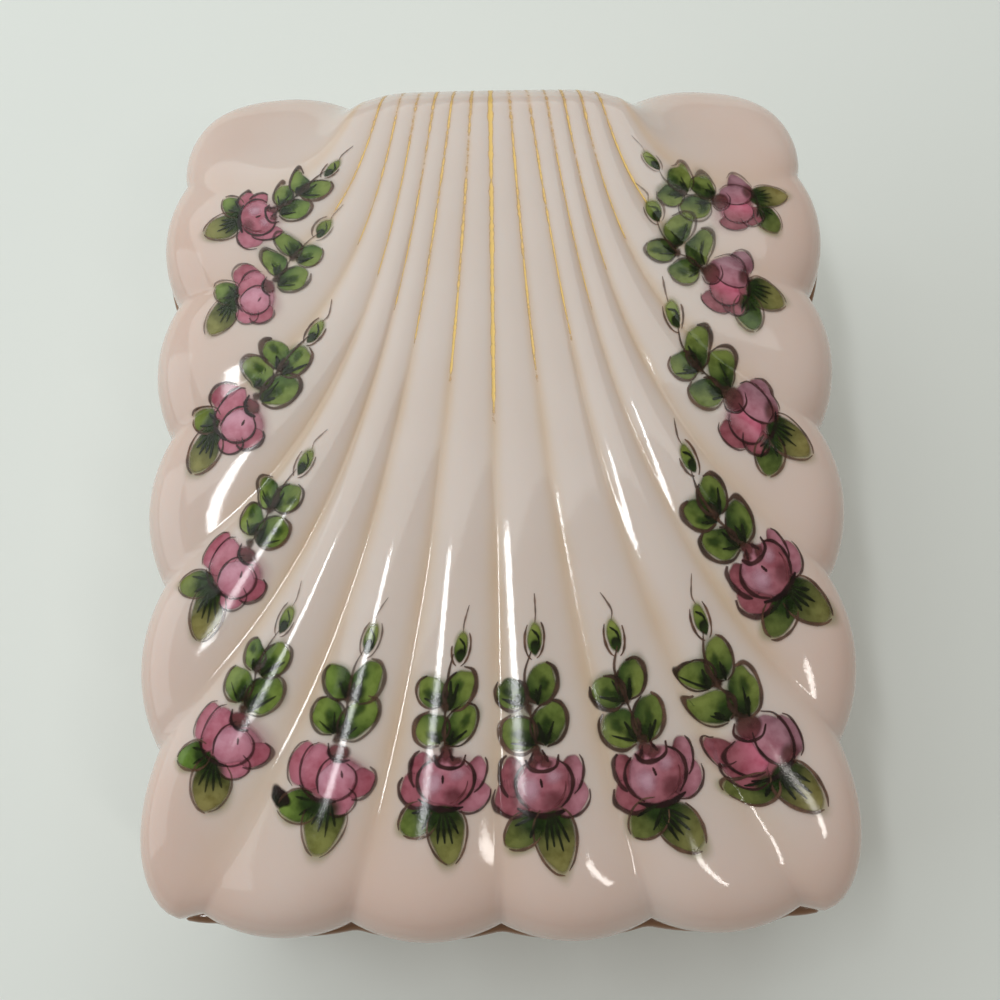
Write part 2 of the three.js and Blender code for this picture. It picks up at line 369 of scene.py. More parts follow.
def valley(k, p):
    """Plan points of the valleys k at the fractions p of the way from the back edge to the rim: a chord that
    bows sideways, most at about three fifths of its length. The one after the last runs along the ear's back
    edge."""
    x = np.where(k > RIBS, NOTCH_AT, k * HUB_PITCH)
    start = np.stack([x, back_edge(x)], -1)
    chord = rim_valley(k) - start
    swing = p * (1 - p * p) * 1.5 * np.sqrt(3)  # 1 where it is largest
    bow = np.where(k > RIBS, 0, np.minimum(VALLEY_BOW * k, BOW_LIMIT) * swing)
    bow = bow / np.linalg.norm(chord, axis=-1)
    sideways = np.stack([chord[..., 1], -chord[..., 0]], -1)
    point = start + chord * p[..., None] + sideways * bow[..., None]
    point[..., 1] = np.where(k > RIBS, back_edge(point[..., 0]), point[..., 1])
    return point


def lane_plan(lane, w, p):
    """Plan points at the fractions w across a lane, with its lobe swelling out towards the rim."""
    arc = np.where(lane == FRONT_RIBS, CORNER_ARC, np.where(lane == RIBS, EAR_ARC, LOBE_ARC))
    on_arc = np.where(lane == FRONT_RIBS, w**CORNER_SKEW, w)
    swell = arc_offset(rim_valley(lane), rim_valley(lane + 1), arc, on_arc)
    w = w[..., None]
    return valley(lane, p) * (1 - w) + valley(lane + 1, p) * w + swell * (p**LOBE_REACH)[..., None]


def shoulder(distance, reach, power):
    """Rounded edge: 0 at the edge, 1 from the given reach inwards."""
    left = 1 - np.clip(distance / reach, 0, 1)
    return (1 - left**power) ** (1 / power)


def shell(t, p):
    """Upper surface of the lid. The lane coordinate t runs from -LANES at the left ear to LANES at the right
    one, whole numbers being valleys, and p from 0 at the back edge to 1 at the rim. A low dome with a rounded
    rim carries the ribs, whose height is a sine across each lane."""
    t, p = np.broadcast_arrays(np.asarray(t, float), np.asarray(p, float))
    lane = np.minimum(np.floor(np.abs(t)), RIBS)
    w = np.abs(t) - lane
    plan = lane_plan(lane, w, p)
    x, y = plan[..., 0], plan[..., 1]
    width = np.linalg.norm(valley(lane, p) - valley(lane + 1, p), axis=-1)
    rib = np.where(lane < RIBS, RIB_RISE * width * np.sin(np.pi * w), 0)
    ear = np.where(lane < RIBS, 1, 1 - EAR_DROP * smooth_step(w, 0, 1))
    dome = CROWN - FALL_ACROSS * (x / HALF_WIDTH) ** 2 - FALL_ALONG * ((y - CROWN_AT) / HALF_LENGTH) ** 2
    from_rim = np.linalg.norm(lane_plan(lane, w, np.ones_like(p)) - plan, axis=-1)
    at_rim = shoulder(from_rim, RIM_ROUND, RIM_POWER)
    at_back = shoulder(back_edge(x) - y, BACK_ROUND, 2)
    z = LID_Z + RIM_BAND + (dome * ear + rib) * at_rim * at_back
    return np.stack([np.sign(t) * x, y, z], -1)


def lid_top():
    """Grid of the upper surface, its rows crowded at hub and rim, and the valley and rim attributes of its
    points: a narrow bell curve over each valley, and a smooth rise towards the rim."""
    t = np.linspace(LANES, -LANES, 2 * LANES * LANE_STEPS + 1)
    v = np.linspace(0, 1, LENGTH_STEPS + 1)
    p = v - END_CROWDING * np.sin(2 * np.pi * v) / (2 * np.pi)
    t, p = np.meshgrid(t, p)
    points = shell(t, p)
    in_valley = np.where(np.abs(t) < RIBS + 0.5, np.exp(-(((t - np.round(t)) / VALLEY_TINT) ** 2)), 0)
    ends = shell(t, np.ones_like(p))
    from_rim = np.linalg.norm((points - ends)[..., :2], axis=-1)
    return t, points, in_valley, 1 - smooth_step(from_rim, 0, RIM_WARMTH)


def lid_edge_rings(t, edge):
    """Rings from the edge of the upper surface down the rim band, which is lifted a little in the valleys,
    over its rounded lower edge, along the flange and over the hollow under the dome."""
    in_valley = np.where(np.abs(t) < RIBS + 0.5, 1 - np.abs(np.sin(np.pi * t)), 0) ** 4
    lift = NOTCH_LIFT * in_valley
    turn = quarter_turn()
    plan = edge[:, :2]
    rings = []
    for angle in turn:
        inset = plan * (1 - EDGE_ROUND / HALF_LENGTH * (1 - np.cos(angle)))
        rings.append(at_height(inset, LID_Z + lift + EDGE_ROUND * (1 - np.sin(angle))))
    foot = LID_Z - FLANGE_DROP
    flange = ((FLANGE, LID_Z), (FLANGE, foot + EDGE_ROUND), (FLANGE - EDGE_ROUND, foot))
    inside = ((HOLLOW + EDGE_ROUND, foot), (HOLLOW, foot + EDGE_ROUND))
    rings += [at_height(superellipse(half, plan), z) for half, z in (*flange, *inside)]
    for angle in np.linspace(0, np.pi / 2, HOLLOW_STEPS + 1)[:-1]:
        half = HOLLOW * np.cos(angle) ** HOLLOW_POWER
        rings.append(at_height(superellipse(half, plan), LID_Z + HOLLOW_HEIGHT * np.sin(angle)))
    return np.array(rings)


def grid_faces(rows, columns, first=0):
    """Quads of a grid of points numbered row by row."""
    number = first + np.arange(rows * columns).reshape(rows, columns)
    corners = (number[:-1, :-1], number[1:, :-1], number[1:, 1:], number[:-1, 1:])
    return np.stack(corners, -1).reshape(-1, 4)


lane_of, top, top_valley, top_rim = lid_top()
top_number = np.arange(lane_of.size).reshape(lane_of.shape)
edge_number = np.concatenate(
    [top_number[-1, :-1], top_number[:0:-1, -1], top_number[0, :0:-1], top_number[:-1, 0]]
)
edge_lane = np.where(edge_number >= top_number[-1, 0], lane_of.ravel()[edge_number], LANES)
edge_rings = lid_edge_rings(edge_lane, top.reshape(-1, 3)[edge_number])
ring_count, ring_size = edge_rings.shape[:2]
after_top = lane_of.size
lid_points = np.concatenate([top.reshape(-1, 3), edge_rings.reshape(-1, 3), [(0, 0, LID_Z + HOLLOW_HEIGHT)]])
first_ring = after_top + np.arange(ring_size)
band = np.stack([edge_number, np.roll(edge_number, -1), np.roll(first_ring, -1), first_ring], -1)
lid_faces = [
    grid_faces(*lane_of.shape)[:, ::-1],
    band,
    loft_faces(ring_count, ring_size, after_top),
    fan_faces(len(lid_points) - 1, first_ring + (ring_count - 1) * ring_size)[:, ::-1],
]
lid = add_piece("glass_lid", lid_points, lid_faces, glass)
under = np.zeros(len(lid_points) - after_top)
add_attribute(lid, "valley", np.concatenate([top_valley.ravel(), under]))
add_attribute(lid, "rim", np.concatenate([top_rim.ravel(), under + 1]))
# the lid takes none of the seam's painted shade and grime
add_attribute(lid, "grime_and_shade", np.zeros(len(lid_points)))
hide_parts("lid")


# Gilt lines
# Thin lines of liquid gold brushed along the valleys from the hub and fired on. They are rubbed and patchy,
# and the middle one is the longest and best kept.
GILT_LENGTH = 63.0  # of the middle line
GILT_SHORTER = 5.1  # each further line is shorter by this
GILT_START = 2.0
GILT_HALF_WIDTH = 0.45
GILT_FADE = 0.72  # width and strength of the other lines, part of the middle one's
GILT_WEAR = 0.5  # how much more the other lines are worn near the hub than at their far ends
GILT_LIFT = 0.03
GILT_STEPS = 160
GILT_ACROSS = 6
GILT_GOLD = paint_colour(226, 190, 108)
GILT_WORN = paint_colour(210, 172, 126)
GILT_SPECK = 0.8  # size of the rubbed spots
GILT_METAL = 0.2
GILT_ROUGHNESS = 0.35
GILT_SEED = 7
DERIVATIVE_STEP = 1e-3


def shell_steps(t, p):
    """Steps of the upper surface for one unit of t and of p, by central differences."""
    h = DERIVATIVE_STEP
    return (shell(t + h, p) - shell(t - h, p)) / (2 * h), (shell(t, p + h) - shell(t, p - h)) / (2 * h)


def lifted(t, p, lift):
    """Points that stand off the upper surface by the given lift, along its normal."""
    across, down = shell_steps(t, np.clip(p, 2 * DERIVATIVE_STEP, 1 - 2 * DERIVATIVE_STEP))
    normal = np.cross(down, across)
    normal /= np.linalg.norm(normal, axis=-1, keepdims=True)
    return shell(t, p) + normal * np.asarray(lift)[..., None]


def run_along(t):
    """Fractions p along the line t of the lid, and the distance over the surface from the back edge to each
    of them."""
    p = np.linspace(0, 1, 400)
    steps = np.linalg.norm(np.diff(shell(t, p), axis=0), axis=-1)
    return p, np.concatenate([[0], np.cumsum(steps)])


def waver(distance, pitches, rng):
    """Wavering number between -1 and 1: the mean of sines with the given pitches and random starts."""
    return np.mean([np.sin(2 * np.pi * distance / pitch + rng.uniform(0, 6)) for pitch in pitches], axis=0)


def gilt_line(k, rng):
    """Ribbon in valley k that narrows towards its end, its edges wavering, with the cover of its gold at each
    point: none at its edges and ends, and less where it is worn."""
    p, run = run_along(k)
    kept = 1 if k == 0 else GILT_FADE
    distance = np.linspace(GILT_START, GILT_LENGTH - GILT_SHORTER * abs(k), GILT_STEPS)
    along = np.linspace(0, 1, GILT_STEPS)
    half = GILT_HALF_WIDTH * kept * (1 - 0.3 * along) * (1 + 0.35 * waver(distance, (18, 7, 3), rng))
    v = np.linspace(-1, 1, GILT_ACROSS + 1)
    p_line = np.interp(distance, run, p)
    lane_width = np.linalg.norm(shell_steps(k + 0.01, p_line)[0], axis=-1)
    t = k + v * (half / lane_width)[:, None]
    ends = smooth_step(along, 0, 0.05) * (1 - smooth_step(along, 0.93, 1))
    strength = kept + 0.3 * waver(distance, (48, 20, 9), rng) + GILT_WEAR * (along - 0.6) * (k != 0)
    cover = np.clip(strength * ends, 0, 1)
    points = lifted(t, np.broadcast_to(p_line[:, None], t.shape), np.full_like(t, GILT_LIFT))
    return points.reshape(-1, 3), (cover[:, None] * (1 - v**2)).ravel()


def gilt_paint():
    """Rubbed gold: part metal, browner where it is worn, and see-through by the cover attribute, broken up by
    a fine noise."""
    material, nodes, shader, link = new_material("gilt")
    specks = noise_node(nodes, link, GILT_SPECK, 5).outputs["Fac"]
    cover = attribute_node(nodes, "cover").outputs["Fac"]
    kept = nodes.new("ShaderNodeMath")
    kept.operation = "ADD"
    link(cover, kept.inputs[0])
    link(range_node(nodes, link, specks, 0.3, 0.7, -0.4, 0.15), kept.inputs[1])
    rubbed = range_node(nodes, link, cover, 0.2, 0.8, 0, 1)
    link(mix_node(nodes, link, rubbed, GILT_WORN, GILT_GOLD), shader.inputs["Base Color"])
    link(range_node(nodes, link, kept.outputs[0], 0.05, 0.6, 0, 0.95), shader.inputs["Alpha"])
    shader.inputs["Metallic"].default_value = GILT_METAL
    shader.inputs["Roughness"].default_value = GILT_ROUGHNESS
    return material


rng = np.random.default_rng(GILT_SEED)
gilt = [gilt_line(k, rng) for k in range(1 - RIBS, RIBS)]
gilt_size = GILT_STEPS * (GILT_ACROSS + 1)
gilt_faces = [grid_faces(GILT_STEPS, GILT_ACROSS + 1, n * gilt_size) for n in range(len(gilt))]
gilt_lines = add_piece("gilt_lines", np.concatenate([points for points, _ in gilt]), gilt_faces, gilt_paint())
add_attribute(gilt_lines, "cover", np.concatenate([cover for _, cover in gilt]))


# Rose sprays
# Each rib carries a spray painted by hand in enamel: soft washes of green for the leaves and of pink for the
# rose, then loose brown brush lines over them, all fired on in a film of about a tenth of a millimetre.
SPRAYS = (  # rib, kind of rose, its distance from the rim and off the crest, lean, size, weight of lines
    (-6.5, "globe", 23.5, -1.7, 0.14, 0.76, 1.0),
    (-5.5, "cleft", 27.0, -3.3, 0.13, 0.82, 0.7),
    (-4.5, "cleft", 27.1, -2.7, 0.1, 0.9, 1.1),
    (-3.5, "cleft", 27.0, -0.2, 0.0, 0.9, 0.8),
    (-2.5, "cleft", 25.0, 0.8, -0.05, 0.9, 0.75),
    (-1.5, "cleft", 29.4, -0.1, 0.06, 0.95, 0.75),
    (-0.5, "globe", 28.5, 0.4, 0.07, 0.92, 1.0),
    (0.5, "globe", 27.9, -1.7, 0.12, 0.98, 1.0),
    (1.5, "globe", 29.0, -1.2, 0.11, 0.98, 1.1),
    (2.5, "folded", 23.7, -2.6, 0.22, 0.95, 1.2),
    (3.5, "globe", 25.5, 0.4, 0.13, 0.95, 1.4),
    (4.5, "folded", 26.9, 2.2, 0.13, 0.95, 0.9),
    (5.5, "folded", 27.7, 3.6, 0.02, 0.9, 0.65),
    (6.5, "folded", 22.1, 3.1, -0.06, 0.84, 0.6),
)
DROP_RIB = -1.5  # the spray with a spilt drop of black on a lower leaf
DROP_LIFT = 0.08
SPRAY_SEED = 21
WASH_STEPS = 14
LINE_STEPS = 22
LINE_COVER = np.array((0, 1, 1, 1, 0))  # across a brush line


class Spray:
    """Place and hand of one spray. Its measures are along, in millimetres towards the rim from the rose, and
    across, square to the rib and towards the next higher lane, both shrunk by its size. Its weight tells how
    heavy its brush lines are, and fresh, from 0 on the right to 1 on the left, how bright its paints are."""

    def __init__(self, rib, from_rim, shift, lean, size, weight, rng):
        self.rib = rib
        self.rng = rng
        self.shift = shift
        self.lean = lean
        self.size = size
        self.weight = weight
        self.fresh = smooth_step(-rib, -1.0, 2.0)
        self.side = np.sign(rib)
        self.p, self.run = run_along(rib)
        self.rose_at = self.run[-1] - from_rim

    def near(self, point, by):
        """The point moved at random by up to the given distance each way."""
        return np.asarray(point, float) + self.rng.uniform(-by, by, 2)

    def on_lid(self, along, across, lift):
        """Points off the glass: find p by the distance along the rib, then step sideways, square to it."""
        along = along * self.size
        across = across * self.size + self.shift - self.lean * along
        p = np.interp(self.rose_at + along, self.run, self.p)
        side, down = shell_steps(self.rib, np.clip(p, 0.01, 0.99))
        slant = (side * down).sum(-1) / (down * down).sum(-1)
        step = across / np.linalg.norm(side - slant[..., None] * down, axis=-1)
        return lifted(self.rib + step, np.clip(p - slant * step, 0, 0.998), lift)


class Coat:
    """One coat of enamel: patches of paint, each a grid of points with colour and cover, spray by spray."""

    def __init__(self):
        self.patches = {}
        self.colours = []
        self.covers = []
        self.faces = []
        self.count = 0

    def lay(self, spray, along, across, lift, colour, cover):
        """Add a patch, given by the places of its grid points on the spray and their lift off the glass."""
        place = np.stack([along, across, np.broadcast_to(lift, along.shape)]).reshape(3, -1)
        self.patches.setdefault(spray, []).append(place)
        self.colours.append(np.broadcast_to(colour, (*along.shape, 3)).reshape(-1, 3))
        self.covers.append(np.broadcast_to(cover, along.shape).ravel())
        self.faces.append(grid_faces(*along.shape, self.count))
        self.count += along.size

    def piece(self, name, material):
        """Piece of all the patches, with their paint and cover attributes."""
        points = [spray.on_lid(*np.concatenate(places, axis=1)) for spray, places in self.patches.items()]
        piece = add_piece(name, np.concatenate(points), self.faces, material)
        add_attribute(piece, "paint", np.concatenate(self.colours))
        add_attribute(piece, "cover", np.concatenate(self.covers))
        return piece


def turned(u, v, heading):
    """Offsets u and v turned so that u points in the heading, in degrees from along towards across."""
    angle = np.radians(heading)
    return np.array((u * np.cos(angle) - v * np.sin(angle), u * np.sin(angle) + v * np.cos(angle)))


def wash(
    coat, spray, at, half, heading, lift, light, dark, tip=0.0, soft=0.2, cover=0.95, shade=0, ragged=0.05
):
    """Wash of paint: a square grid pressed into a disc, stretched to its half length and width, narrowed
    towards its tip and given a ragged edge. The colour runs from light to dark in the direction of shade and
    pools a little near the edge, and the cover fades out over the soft part of the radius."""
    g = np.linspace(-1, 1, WASH_STEPS + 1)
    s, r = np.meshgrid(g, g, indexing="ij")
    u = s * np.sqrt(1 - r * r / 2)
    v = r * np.sqrt(1 - s * s / 2)
    angle = np.arctan2(v, u)
    waves = sum(np.sin(n * angle + spray.rng.uniform(0, 6)) / n**0.5 for n in (2, 3, 5))
    out = 1 + ragged * waves
    along, across = turned(half[0] * u * out, half[1] * v * out * (1 - tip * ((1 + u) / 2) ** 2), heading)
    radius = np.hypot(u, v)
    turn = np.radians(shade)
    mix = smooth_step(u * np.cos(turn) + v * np.sin(turn), -0.8, 0.9)[..., None]
    pool = 1 - 0.16 * smooth_step(radius, 0.5, 0.9)[..., None]
    colour = (light * (1 - mix) + dark * mix) * pool
    inner = 1 - smooth_step(radius, 1 - soft, 1)
    coat.lay(spray, at[0] + along, at[1] + across, lift, colour, cover * inner)


def smooth_line(points):
    """Curve through a few points: each coordinate is a cubic between neighbours, its slopes taken across
    them."""
    points = np.asarray(points, float)
    ends = np.concatenate([[2 * points[0] - points[1]], points, [2 * points[-1] - points[-2]]])
    at = np.linspace(0, len(points) - 1, LINE_STEPS)
    i = np.minimum(at.astype(int), len(points) - 2)
    f = (at - i)[:, None]
    a, b, c, d = ends[i], ends[i + 1], ends[i + 2], ends[i + 3]
    return b + 0.5 * f * (c - a + f * (2 * a - 5 * b + 4 * c - d + f * (3 * (b - c) + d - a)))


def brush_line(spray, points, width, colour, cover=0.9):
    """Brush line: a ribbon along a smooth curve through the points, pressed most past its middle, thin at its
    ends and fading out at its edges."""
    rng = spray.rng
    line = smooth_line(points)
    heading = np.gradient(line, axis=0)
    heading /= np.linalg.norm(heading, axis=-1, keepdims=True)
    s = np.linspace(0, 1, LINE_STEPS)
    press = 0.35 + 0.65 * np.sin(np.pi * s**1.2) ** 0.7
    weight = spray.weight
    half = (width / 4 * (1 + weight) * press * (1 + 0.25 * waver(s, (0.8, 0.3), rng)))[:, None]
    v = np.linspace(-1, 1, len(LINE_COVER))
    tone = 1 + 0.35 * waver(s, (1.3, 0.5), rng)
    shades = np.repeat((colour * tone[:, None])[:, None], len(LINE_COVER), axis=1)
    along = line[:, :1] - heading[:, 1:] * half * v
    across = line[:, 1:] + heading[:, :1] * half * v
    line_coat.lay(spray, along, across, LINE_LIFT, shades, cover * min(weight, 1) * LINE_COVER)


def edge_of(at, half, heading, start, end, grow=1.0, tip=0.0):
    """Points along part of a wash's edge, from one angle to another in degrees, grown about its middle."""
    angle = np.radians(np.linspace(start, end, 6))
    u = np.cos(angle) * grow
    v = np.sin(angle) * grow * (1 - tip * ((1 + np.cos(angle)) / 2) ** 2)
    return np.asarray(at) + turned(half[0] * u, half[1] * v, heading).T


LEAF_LIGHT = paint_colour(134, 144, 72)
LEAF_GREEN = paint_colour(74, 100, 40)
LEAF_FRESH = paint_colour(104, 144, 54)
LEAF_DARK = paint_colour(40, 60, 20)
LEAF_OLIVE = paint_colour(150, 138, 84)
LEAF_VEIN = paint_colour(26, 32, 12)
STEM_BROWN = paint_colour(74, 52, 40)
LEAF_LINE = paint_colour(96, 70, 56)
HALO_LIFT = 0.03
LEAF_LIFT = 0.05
TOUCH_LIFT = 0.06
FOOT_LIFT = 0.07
KNOT_LIFT = 0.09
LINE_LIFT = 0.12
FOOT_WASH = dict(soft=0.8, cover=0.85)


def draw_leaf(spray, at, half, heading, outer, tone):
    """Leaf on the stem: a faint halo, a wash that darkens on its inner side, a dark touch, a darker foot, a
    loose outline on each side and two veins."""
    rng = spray.rng
    at = spray.near(at, 0.3)
    heading = heading + rng.uniform(-10, 10)
    half = np.asarray(half) * rng.uniform(0.92, 1.12, 2)
    green = LEAF_FRESH * spray.fresh + LEAF_GREEN * (1 - spray.fresh)
    light = LEAF_LIGHT * (0.4 + 0.6 * tone) + green * (0.6 - 0.6 * tone)
    dark = green * 0.5 * tone + LEAF_DARK * (1 - 0.5 * tone)
    shade = rng.uniform(60, 180) * -outer
    halo = dict(soft=0.6, cover=0.55)
    wash(leaf_coat, spray, spray.near(at, 0.5), half * 1.25, heading, HALO_LIFT, light, LEAF_GREEN, **halo)
    body = dict(tip=0.1, soft=0.16, cover=0.93, shade=shade, ragged=0.08)
    wash(leaf_coat, spray, at, half, heading, LEAF_LIFT, light, dark, **body)
    blot = at + turned(*(half * rng.uniform(-0.4, 0.4, 2)), heading)
    touch = dict(soft=0.8, cover=0.7, ragged=0.15)
    wash(leaf_coat, spray, blot, half * (0.5, 0.4), heading, TOUCH_LIFT, LEAF_DARK, dark, **touch)
    foot = at - turned(half[0] * 0.6, outer * half[1] * 0.2, heading)
    wash(leaf_coat, spray, foot, half * (0.5, 0.6), heading, FOOT_LIFT, LEAF_VEIN, LEAF_DARK, **FOOT_WASH)
    end = rng.uniform(-40, 20) * outer
    away = edge_of(at, half, heading, 175 * outer, end, rng.uniform(0.98, 1.08), 0.1)
    brush_line(spray, away, rng.uniform(0.5, 0.85), LEAF_LINE * rng.uniform(0.4, 1), 0.85)
    end = -rng.uniform(20, 120) * outer
    close = edge_of(at, half, heading, -175 * outer, end, rng.uniform(0.9, 1.0), 0.1)
    brush_line(spray, close, rng.uniform(0.4, 0.7), LEAF_LINE * 0.4, 0.85)
    for lean in rng.uniform(-0.7, 0.7, 2):
        end = rng.uniform(-0.4, 0.3)
        vein = [at + turned(half[0] * u, half[1] * lean * (1 + u), heading) for u in (-1.0, -0.6, end)]
        brush_line(spray, vein, rng.uniform(0.4, 0.7), LEAF_VEIN)


def draw_rose_leaf(spray, at, half, heading, olive, veins):
    """Leaf under the rose: dark at its foot, lighter and more or less olive at its tip, outlined loosely on
    both sides, with a few dark veins that fan out from its foot."""
    rng = spray.rng
    at = spray.near(at, 0.3)
    half = np.asarray(half) * rng.uniform(0.95, 1.1, 2)
    heading = heading + rng.uniform(-10, 10)
    end = LEAF_OLIVE * olive + (LEAF_FRESH * spray.fresh + LEAF_GREEN * (1 - spray.fresh)) * (1 - olive)
    halo_at = spray.near(at + turned(half[0] * 0.25, 0, heading), 0.4)
    halo = dict(tip=0.3, soft=0.6, cover=0.5)
    wash(leaf_coat, spray, halo_at, half * 1.15, heading, HALO_LIFT, LEAF_LIGHT, LEAF_LIGHT, **halo)
    wash(leaf_coat, spray, at, half, heading, LEAF_LIFT, LEAF_DARK, end, tip=0.3, soft=0.16)
    foot = at - turned(half[0] * 0.5, 0, heading)
    wash(leaf_coat, spray, foot, half * (0.6, 0.8), heading, FOOT_LIFT, LEAF_DARK, LEAF_DARK, **FOOT_WASH)
    for outer in (-1, 1):
        grow = rng.uniform(0.98, 1.08)
        start = rng.uniform(110, 160) * outer
        edge = edge_of(at, half, heading, start, rng.uniform(0, 20) * outer, grow, 0.3)
        brush_line(spray, edge, rng.uniform(0.35, 0.55), LEAF_LINE, 0.85)
    for v in np.linspace(-0.45, 0.45, veins):
        reach = rng.uniform(0.1, 0.45) - abs(v) * 0.4
        path = [(-0.75, v * 0.3), (-0.3, v * 0.8), (reach, v * 1.15)]
        brush_line(spray, [at + turned(half[0] * u, half[1] * w, heading) for u, w in path], 0.5, LEAF_VEIN)


def draw_bud(spray, at):
    """Bud at the head of the spray: a yellow-green wash, dark at its foot, with husk lines and a tendril."""
    rng = spray.rng
    at = spray.near(at, 0.4)
    halo = dict(tip=0.1, soft=0.6, cover=0.6)
    wash(leaf_coat, spray, at - (0.6, 0), (2.2, 1.3), 180, HALO_LIFT, LEAF_LIGHT, LEAF_LIGHT, **halo)
    wash(leaf_coat, spray, at, (2.2, 1.05), 180, LEAF_LIFT, LEAF_GREEN, LEAF_LIGHT, tip=0.2, soft=0.25)
    foot = at + (1.2, 0.1)
    wash(leaf_coat, spray, foot, (1.2, 0.85), 0, FOOT_LIFT, LEAF_VEIN, LEAF_DARK, tip=0.6, soft=0.4)
    for outer in (-1, 1):
        husk = edge_of(at, (2.6, 1.2), 0, 15 * outer, rng.uniform(90, 150) * outer, rng.uniform(1, 1.1))
        brush_line(spray, husk, 0.4, LEAF_LINE)
    brush_line(spray, [at + q for q in ((0.8, 0.6), (-0.3, 0.4), (-1.2, -0.4))], 0.4, LEAF_VEIN)
    curl = rng.uniform(-0.9, 0.9)
    tendril = [at + q for q in ((-2.0, 0.0), (-3.2, -0.3 * curl), (-4.6, 0.3 * curl), (-5.8, curl))]
    brush_line(spray, tendril, 0.3, LEAF_LINE, 0.75)


PETAL_PALE = paint_colour(208, 166, 182)
PETAL_PINK = paint_colour(184, 126, 140)
PETAL_BRIGHT = paint_colour(204, 114, 138)
PETAL_ROSE = paint_colour(156, 90, 100)
PETAL_MAUVE = paint_colour(160, 116, 128)
PETAL_SHADE = paint_colour(112, 58, 64)
THROAT_BROWN = paint_colour(86, 54, 48)
ROSE_LINE = paint_colour(62, 32, 32)
ROSE_DARK = paint_colour(36, 16, 16)
FRESH_PINK = 0.35  # how far the petals of the freshest sprays go towards the bright pink
GROUND_LIFT = 0.04
PETAL_LIFT = 0.06
GLOBE_LIFT = 0.08
FOLD_LIFT = 0.09
THROAT_LIFT = 0.1


def petal(spray, at, half, heading, light, dark, shade, arc, weight, lift=PETAL_LIFT):
    """Petal: a wash and, along part of its edge given by two angles, a brush line of the given weight."""
    at = spray.near(at, 0.2)
    half = np.asarray(half) * spray.rng.uniform(0.95, 1.06, 2)
    light = light + (PETAL_BRIGHT - light) * FRESH_PINK * spray.fresh
    dark = dark + (PETAL_BRIGHT - dark) * FRESH_PINK * spray.fresh
    wash(rose_coat, spray, at, half, heading, lift, light, dark, 0, 0.14, 0.94, shade, 0.06)
    edge = edge_of(at, half, heading, *arc, spray.rng.uniform(0.98, 1.06))
    brush_line(spray, edge, weight, ROSE_LINE, 0.8)


def glow(spray, at, half, lift, colour, cover):
    """Touch of one colour that fades out almost from its middle."""
    wash(rose_coat, spray, at, half, 0, lift, colour, colour, soft=0.9, cover=cover)


def tick(spray, at, length, lean):
    """Short dark touch of the brush, laid along the rib and leaning to one side."""
    at = spray.near(at, 0.2)
    brush_line(spray, [at + (length * s, lean * s) for s in (-0.5, 0, 0.5)], 0.45, ROSE_LINE)


def draw_globe_rose(spray):
    """Rose with a round middle petal, two petals on each side, a brown throat, a fold and a tick."""
    petal(spray, (-1.1, 3.6), (2.6, 1.6), -6, PETAL_PINK, PETAL_SHADE, -90, (150, 20), 0.5)
    petal(spray, (1.7, 3.6), (2.3, 2.6), -10, PETAL_PINK, PETAL_SHADE, -100, (115, -20), 0.5)
    petal(spray, (-1.1, -3.6), (2.6, 1.6), 6, PETAL_ROSE, PETAL_SHADE, 90, (-165, -30), 0.8)
    petal(spray, (1.7, -3.6), (2.3, 2.6), 10, PETAL_ROSE, PETAL_SHADE, 100, (-130, 20), 0.8)
    middle = (-0.1, 0.1)
    petal(spray, middle, (3.5, 3.8), 0, PETAL_PINK, PETAL_ROSE, 50, (-140, -35), 0.6, GLOBE_LIFT)
    glow(spray, (1.7, 1.5), (1.7, 2.1), FOLD_LIFT, PETAL_SHADE, 0.55)
    glow(spray, (0.2, -1.5), (2.2, 1.7), THROAT_LIFT, PETAL_PALE, 0.7)
    glow(spray, (-1.2, 1.4), (1.3, 1.5), THROAT_LIFT, PETAL_PALE, 0.5)
    brush_line(spray, edge_of(middle, (3.5, 3.8), 0, 150, 35), 0.6, ROSE_LINE)
    brush_line(spray, edge_of(middle, (3.0, 2.9), 0, 95, 20), 0.35, PETAL_SHADE)
    tick(spray, (-0.5, -0.2), 1.1, 0.2)
    brush_line(spray, [(2.7, -3.2), (3.4, -1.4), (3.6, 0.8), (3.1, 3.0)], 0.9, ROSE_DARK)
    throat = dict(soft=0.6, cover=0.9, ragged=0.18)
    for at, half in (((-3.9, -0.6), (1.3, 1.2)), ((-2.9, 0.6), (0.9, 1.1)), ((-3.0, -1.5), (0.9, 0.8))):
        at = spray.near(at, 0.3)
        wash(rose_coat, spray, at, half, 0, THROAT_LIFT, THROAT_BROWN, PETAL_SHADE, **throat)
    tick(spray, (-3.7, 0.3), 1.6, 0.8)
    tick(spray, (-3.6, -1.2), 1.4, -0.6)
    brush_line(spray, [(-3.8, 2.1), (-2.4, 1.8), (-1.9, 0.4), (-2.2, -1.3), (-3.4, -2.1)], 0.7, ROSE_LINE)


